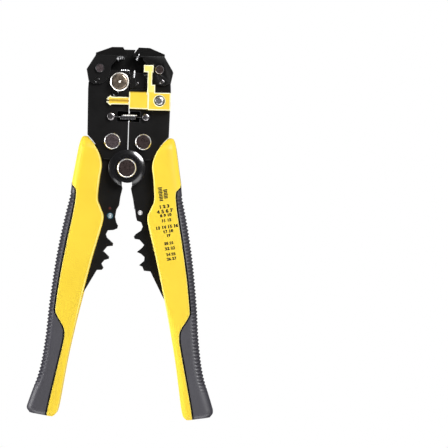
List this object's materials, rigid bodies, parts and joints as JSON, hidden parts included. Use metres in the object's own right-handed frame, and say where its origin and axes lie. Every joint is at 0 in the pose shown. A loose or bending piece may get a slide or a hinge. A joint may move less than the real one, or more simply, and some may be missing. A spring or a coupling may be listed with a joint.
{
  "type": "wire stripper",
  "caption": "Self-adjusting wire stripper with two gripped handles, crimping dies, a wire cutter, twin head halves, a return spring and jaws that close and part as the handles are squeezed",
  "frame": {"origin": "On the main pivot's axis, at the flat face of the main rivet's rear head, which is level with the backs of the grips", "axes": "+Y from the handles to the jaws, +Z out of the front of the tool towards the user, +X to the right seen from the front"},
  "size_m": [0.1036, 0.2066, 0.02],
  "materials": {
    "black_steel": "black oxide, satin",
    "zinc_steel": "bright zinc plate",
    "blade_steel": "ground tool steel",
    "spring_steel": "oiled spring wire",
    "knob_bronze": "bronze plated",
    "grip_yellow": "soft-touch moulded",
    "grip_grey": "ribbed soft rubber",
    "stop_yellow": "moulded nylon"
  },
  "bodies": {
    "left_handle": {"left_core_plate_front": "black_steel", "left_core_plate_rear": "black_steel", "left_core_rivet": "zinc_steel", "left_tang_rivet": "zinc_steel", "left_link_rivet": "zinc_steel", "left_grip_sleeve": "grip_yellow", "left_grip_overlay": "grip_grey", "pivot_dish_front": "black_steel", "pivot_dish_rear": "black_steel", "pivot_spacer_front": "zinc_steel", "pivot_spacer_rear": "zinc_steel", "main_rivet": "zinc_steel"},
    "right_handle": {"right_core_plate_front": "black_steel", "right_core_plate_rear": "black_steel", "right_core_rivet": "zinc_steel", "right_tang_rivet": "zinc_steel", "right_link_rivet": "zinc_steel", "right_grip_sleeve": "grip_yellow", "right_grip_overlay": "grip_grey", "cutter_blade": "blade_steel"},
    "left_head": {"left_head_plate_front": "black_steel", "left_head_plate_rear": "black_steel", "left_head_spacer": "zinc_steel", "left_shoulder_bush": "zinc_steel", "left_lower_jaw_block": "black_steel", "lower_grip_insert": "blade_steel", "guide_lobe": "black_steel", "guide_lobe_rivet": "zinc_steel", "guide_lobe_pin": "black_steel", "spring_screw": "zinc_steel", "return_spring": "spring_steel", "spring_hook_left": "spring_steel", "adjuster_washer": "zinc_steel"},
    "right_head": {"right_head_plate_front": "black_steel", "right_head_plate_rear": "black_steel", "right_head_spacer": "zinc_steel", "right_shoulder_bush": "zinc_steel", "right_lower_jaw_block": "black_steel", "lower_blade": "blade_steel", "blade_screw": "zinc_steel", "spring_pin": "zinc_steel"},
    "left_jaw": {"left_upper_jaw": "black_steel", "left_jaw_rear_ear": "black_steel", "upper_grip_insert": "blade_steel", "left_tail_pin": "zinc_steel", "left_shoulder_rivet": "zinc_steel"},
    "right_jaw": {"right_upper_jaw": "black_steel", "right_jaw_rear_ear": "black_steel", "upper_blade": "blade_steel", "right_tail_pin": "zinc_steel", "right_shoulder_rivet": "zinc_steel"},
    "stop": {"wire_stop": "stop_yellow", "stop_screw": "zinc_steel", "stop_nut": "zinc_steel"},
    "adjuster": {"adjuster_knob": "knob_bronze", "adjuster_cam": "zinc_steel"},
    "hook": {"spring_hook_right": "spring_steel"}
  },
  "joints": [
    {"name": "squeeze", "type": "hinge", "parent": "left_handle", "child": "right_handle", "pos_m": [0, 0, 0.01], "axis": [0, 0, 1], "range_deg": [-21.3, 0], "stiffness_Nm_per_rad": 1.5, "springref_deg": 22.92},
    {"name": "left_head_link", "type": "hinge", "parent": "left_handle", "child": "left_head", "pos_m": [-0.0086, 0.01475, 0.01], "axis": [0, 0, 1], "range_deg": [-5.6, 0.1]},
    {"name": "right_head_link", "type": "hinge", "parent": "right_handle", "child": "right_head", "pos_m": [0.0086, 0.01475, 0.01], "axis": [0, 0, 1], "range_deg": [-0.1, 5.6]},
    {"name": "left_jaw_pivot", "type": "hinge", "parent": "left_head", "child": "left_jaw", "pos_m": [-0.0165, 0.055, 0.01], "axis": [0, 0, 1], "range_deg": [-22.2, 0.1]},
    {"name": "right_jaw_pivot", "type": "hinge", "parent": "right_head", "child": "right_jaw", "pos_m": [0.0165, 0.055, 0.01], "axis": [0, 0, 1], "range_deg": [-0.1, 22.2]},
    {"name": "spring_stretch", "type": "hinge", "parent": "left_head", "child": "hook", "pos_m": [0, -0.0141, 0.01], "axis": [0, 0, 1], "range_deg": [-10.6, 0.1], "deforming": ["return_spring"]},
    {"name": "stop_slide", "type": "slide", "parent": "right_head", "child": "stop", "axis": [1, 0, 0], "range_m": [-0.0035, 0.0004]},
    {"name": "adjuster_turn", "type": "hinge", "parent": "left_head", "child": "adjuster", "pos_m": [-0.0053, 0.0477, 0.01], "axis": [0, 0, 1], "range_deg": [-180, 180]}
  ],
  "couplings": [
    {"joint": "left_head_link", "follows": "squeeze", "ratio": 0.25587},
    {"joint": "right_head_link", "follows": "squeeze", "ratio": -0.25587},
    {"joint": "left_jaw_pivot", "follows": "squeeze", "ratio": 1.0329},
    {"joint": "right_jaw_pivot", "follows": "squeeze", "ratio": -1.0329},
    {"joint": "spring_stretch", "follows": "squeeze", "ratio": 0.48826}
  ]
}
